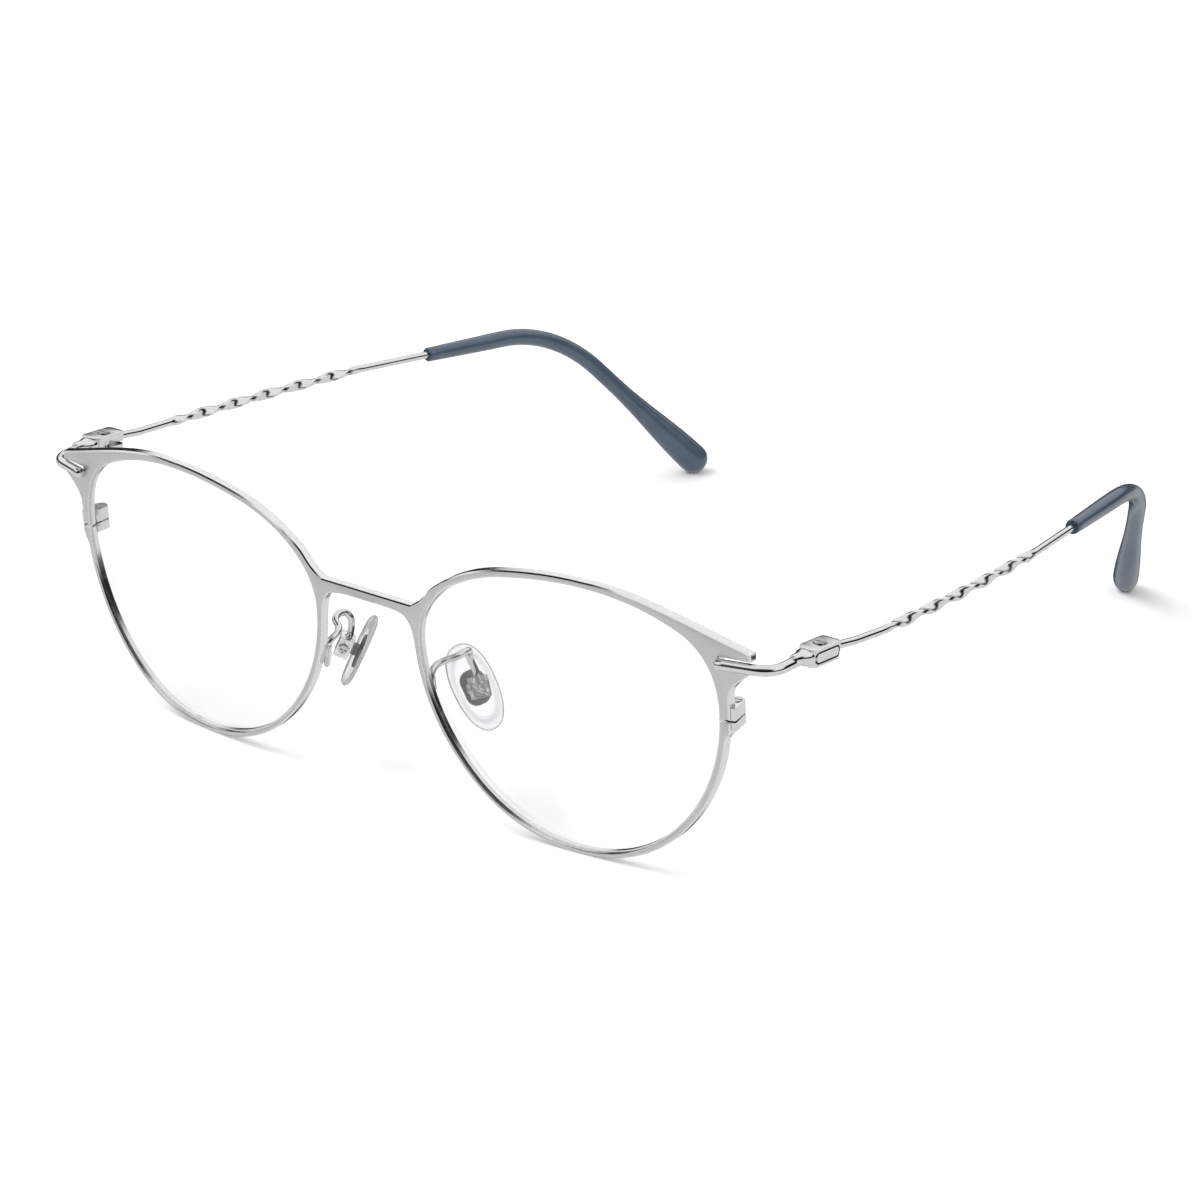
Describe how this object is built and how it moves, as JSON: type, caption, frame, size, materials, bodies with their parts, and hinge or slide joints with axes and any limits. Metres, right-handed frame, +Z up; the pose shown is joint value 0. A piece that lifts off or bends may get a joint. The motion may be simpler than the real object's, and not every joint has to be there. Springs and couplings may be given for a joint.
{
  "type": "wire spectacles",
  "caption": "Flat-cut metal spectacle front with lenses, twisted wire temples on screwed hinges, sleeve tips and screw-on nose pads.",
  "frame": {"origin": "on the table, under the middle of the object's bounding box; the spectacles stand open on the bottoms of the rims and the ends of the temple tips", "axes": "+X across the face towards the wearer's left, +Y from the front towards the temple tips, +Z up from the table"},
  "size_m": [0.1394, 0.1399, 0.0438],
  "materials": {
    "front_metal": "fine brushed front face, bright edges",
    "wire_metal": "polished white metal plating",
    "screw_metal": "turned and slotted",
    "pad_core": "matt stamped plate",
    "lens": "clear, polished",
    "tip": "glossy slate blue",
    "pad": "clear soft silicone"
  },
  "bodies": {
    "front": {"front_frame": "front_metal", "left_lens": "lens", "right_lens": "lens", "left_closing_block_upper": "wire_metal", "right_closing_block_upper": "wire_metal", "left_closing_block_lower": "wire_metal", "right_closing_block_lower": "wire_metal", "left_closing_screw": "screw_metal", "right_closing_screw": "screw_metal", "left_end_piece": "wire_metal", "right_end_piece": "wire_metal", "left_hinge_screw": "screw_metal", "right_hinge_screw": "screw_metal", "left_pad_arm": "wire_metal", "right_pad_arm": "wire_metal", "left_pad_box": "wire_metal", "right_pad_box": "wire_metal", "left_pad_screw": "screw_metal", "right_pad_screw": "screw_metal"},
    "left_temple_body": {"left_temple": "wire_metal", "left_temple_tip": "tip"},
    "right_temple_body": {"right_temple": "wire_metal", "right_temple_tip": "tip"},
    "left_pad_body": {"left_pad_core": "pad_core", "left_nose_pad": "pad"},
    "right_pad_body": {"right_pad_core": "pad_core", "right_nose_pad": "pad"}
  },
  "joints": [
    {"name": "left_temple_fold", "type": "hinge", "parent": "front", "child": "left_temple_body", "pos_m": [0.06795, -0.05207, 0.03538], "axis": [0, 0.0698, 0.9976], "range_deg": [0, 80]},
    {"name": "right_temple_fold", "type": "hinge", "parent": "front", "child": "right_temple_body", "pos_m": [-0.06795, -0.05207, 0.03538], "axis": [0, -0.0698, -0.9976], "range_deg": [0, 71]},
    {"name": "left_pad_rock", "type": "hinge", "parent": "front", "child": "left_pad_body", "pos_m": [0.01287, -0.0596, 0.01797], "axis": [0.5334, 0.8404, 0.0958], "range_deg": [-8, 8]},
    {"name": "right_pad_rock", "type": "hinge", "parent": "front", "child": "right_pad_body", "pos_m": [-0.01287, -0.0596, 0.01797], "axis": [0.5334, -0.8404, -0.0958], "range_deg": [-8, 8]}
  ]
}
